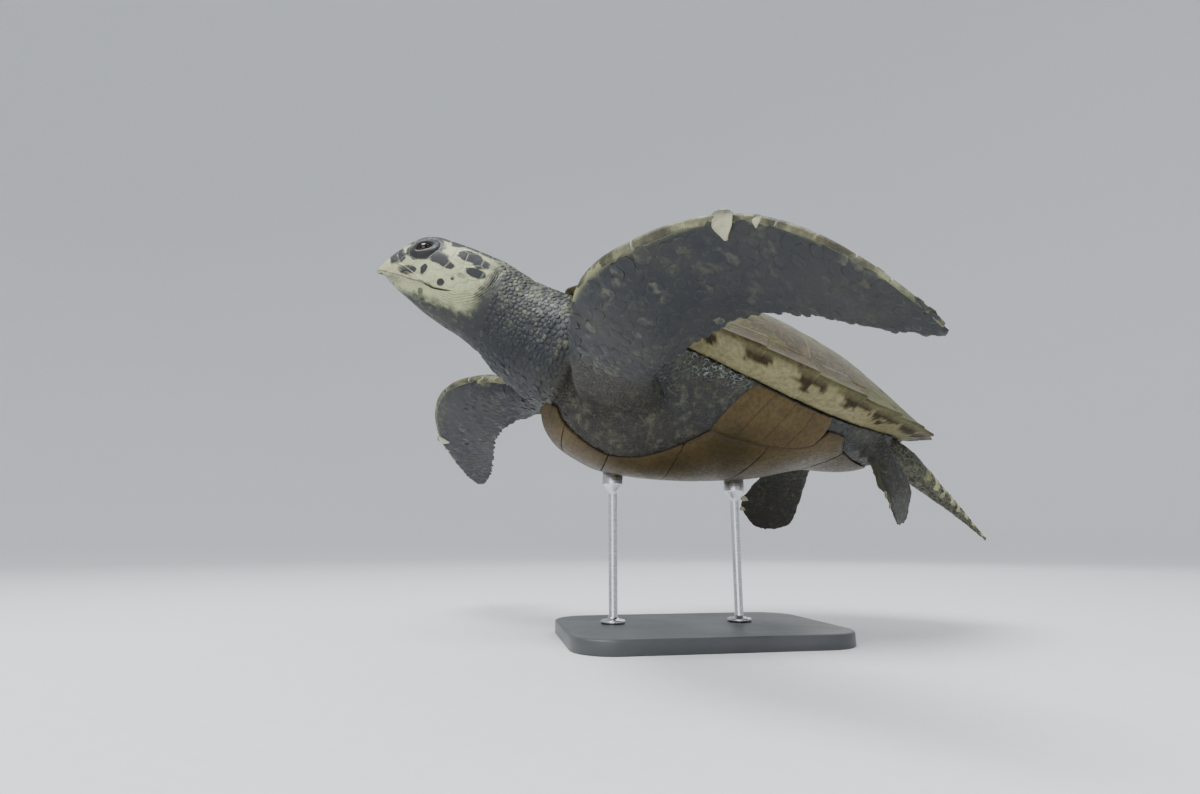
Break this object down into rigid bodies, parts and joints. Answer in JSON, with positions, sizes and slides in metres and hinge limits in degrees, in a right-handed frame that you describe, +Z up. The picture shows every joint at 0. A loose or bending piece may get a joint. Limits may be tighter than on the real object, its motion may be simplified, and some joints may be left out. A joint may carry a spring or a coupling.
{
  "type": "hawksbill sea turtle model on a display stand",
  "caption": "Life-size swimming hawksbill sea turtle, nose up and banked, front flippers spread, held on rods over a flat display base.",
  "frame": {"origin": "middle of the underside of the stand's base", "axes": "+Z up; the turtle faces -Y, nose up, with its left side towards +X"},
  "size_m": [1.2921, 1.2061, 0.7254],
  "materials": {
    "skin": "scaly hide: slate to brown flippers, pebbled grey neck, cream face with dark patches",
    "carapace": "overlapping horn plates, amber and olive streaked with dark brown, satin gloss",
    "plastron": "worn olive-yellow horn plates, satin",
    "beak": "horn, semi-gloss",
    "claw": "pale horn, semi-gloss",
    "eye": "wet gloss, almost black",
    "stand_base": "satin black paint",
    "stand_rod": "brushed"
  },
  "bodies": {
    "root": {"carapace": "carapace", "plastron": "plastron", "trunk": "skin", "neck": "skin", "eye_left": "eye", "eye_right": "eye", "head": "skin", "beak_upper": "beak", "lower_jaw": "skin", "beak_lower": "beak", "front_flipper_left": "skin", "claw_front_left_1": "claw", "claw_front_left_2": "claw", "front_flipper_right": "skin", "claw_front_right_1": "claw", "claw_front_right_2": "claw", "hind_flipper_left": "skin", "claw_hind_left_1": "claw", "claw_hind_left_2": "claw", "hind_flipper_right": "skin", "claw_hind_right_1": "claw", "claw_hind_right_2": "claw", "tail": "skin", "stand_base": "stand_base", "stand_rod_front": "stand_rod", "stand_rod_rear": "stand_rod"}
  },
  "joints": []
}
